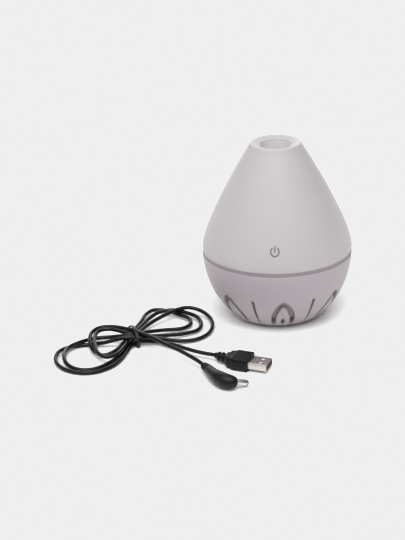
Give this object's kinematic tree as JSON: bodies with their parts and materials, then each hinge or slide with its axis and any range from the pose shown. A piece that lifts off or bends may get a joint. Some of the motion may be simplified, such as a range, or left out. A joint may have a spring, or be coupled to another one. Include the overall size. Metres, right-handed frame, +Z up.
{
  "type": "cool mist humidifier",
  "caption": "Desktop ultrasonic cool mist humidifier with a round bowl cut with lotus petals, a domed lift-off cover and a tied supply lead.",
  "frame": {"origin": "on the floor, at the centre of the humidifier's underside", "axes": "+Z up along the bowl's axis; the power mark faces -Y and the supply socket looks out near +Y"},
  "size_m": [0.1988, 0.1795, 0.1243],
  "materials": {
    "white_plastic": "satin moulded",
    "grey_plastic": "satin moulded",
    "milky_plastic": "translucent satin",
    "black_plastic": "satin moulded",
    "black_lead": "satin PVC",
    "black_rubber": "matte",
    "silicone": "matte",
    "nickel": "bright nickel plate",
    "steel": "zinc plated",
    "brass": "bare",
    "board_green": "solder mask",
    "lamp_plastic": "clear moulded",
    "dark_print": "printed"
  },
  "bodies": {
    "root": {"air_duct": "grey_plastic", "barrel_liner": "black_plastic", "barrel_plug_body": "black_plastic", "barrel_sleeve": "nickel", "base_screw_1": "steel", "base_screw_2": "steel", "base_screw_3": "steel", "base_screw_4": "steel", "base_shell": "white_plastic", "board_screw_1": "steel", "board_screw_2": "steel", "boost_coil": "black_plastic", "bottom_cover": "white_plastic", "cable_tie": "black_plastic", "control_board": "board_green", "disc_retainer": "steel", "disc_seal": "silicone", "driver_chip": "black_plastic", "fan_bearing": "brass", "fan_housing": "black_plastic", "foot_1": "black_rubber", "foot_2": "black_rubber", "foot_3": "black_rubber", "foot_4": "black_rubber", "light_diffuser": "milky_plastic", "mood_lamp_1": "lamp_plastic", "mood_lamp_2": "lamp_plastic", "mood_lamp_3": "lamp_plastic", "mood_lamp_4": "lamp_plastic", "retainer_screw_1": "steel", "retainer_screw_2": "steel", "seam_ring": "grey_plastic", "smoothing_capacitor": "steel", "supply_cord": "black_lead", "supply_socket": "black_plastic", "tank_gasket": "silicone", "touch_pad": "brass", "ultrasonic_disc": "brass", "usb_plug_body": "black_plastic", "usb_shell": "nickel", "usb_tongue": "black_plastic", "water_tank": "milky_plastic"},
    "cover": {"cover_shell": "white_plastic", "mist_guide": "white_plastic", "power_mark_ring": "dark_print", "power_mark_bar": "dark_print"},
    "fan": {"fan_rotor": "black_plastic", "fan_shaft": "steel"}
  },
  "joints": [
    {"name": "cover_lift", "type": "slide", "parent": "root", "child": "cover", "axis": [0, 0, 1], "range_m": [0, 0.04]},
    {"name": "fan_spin", "type": "hinge", "parent": "root", "child": "fan", "pos_m": [0.012, 0, 0.011], "axis": [0, 0, 1], "continuous": true}
  ]
}
